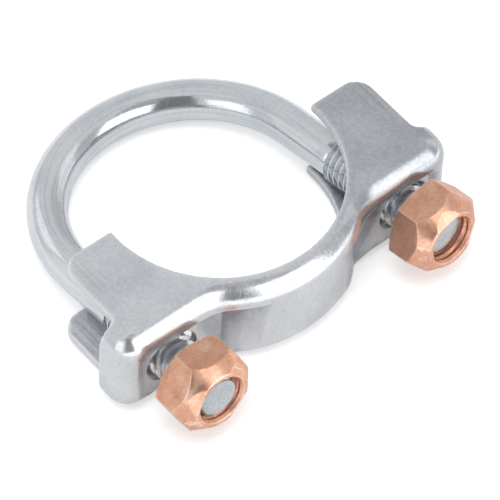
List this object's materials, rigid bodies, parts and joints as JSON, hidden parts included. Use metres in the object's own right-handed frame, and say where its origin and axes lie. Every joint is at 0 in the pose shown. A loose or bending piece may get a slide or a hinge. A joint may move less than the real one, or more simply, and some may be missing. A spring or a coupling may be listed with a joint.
{
  "type": "u-bolt",
  "caption": "Pipe clamp: a bent round rod with threaded legs, a stamped channel saddle with an arc for the pipe, and copper-plated conical lock nuts.",
  "frame": {"origin": "centre of the pipe that the bow of the rod fits, in the middle plane of the rod", "axes": "+Z along the pipe, legs of the rod towards -Y, one leg on -X and one on +X"},
  "size_m": [0.086, 0.0794, 0.0265],
  "materials": {
    "zinc_rod": "bright zinc-plated steel rod",
    "zinc_sheet": "bright zinc-plated steel sheet with a fine grain",
    "copper_plate": "copper-plated steel, satin"
  },
  "bodies": {
    "bolt": {"u_bolt": "zinc_rod"},
    "saddle": {"saddle": "zinc_sheet"},
    "left_nut": {"nut_left": "copper_plate"},
    "right_nut": {"nut_right": "copper_plate"}
  },
  "joints": [
    {"name": "saddle_slide", "type": "slide", "parent": "bolt", "child": "saddle", "axis": [0, 1, 0], "range_m": [-0.0022, 0.0065]},
    {"name": "nut_left_turn", "type": "hinge", "parent": "bolt", "child": "left_nut", "pos_m": [-0.03054, -0.03976, 0], "axis": [-0.0349, -0.9994, 0], "continuous": true},
    {"name": "nut_right_turn", "type": "hinge", "parent": "bolt", "child": "right_nut", "pos_m": [0.03058, -0.04086, 0], "axis": [0.0349, -0.9994, 0], "continuous": true}
  ]
}
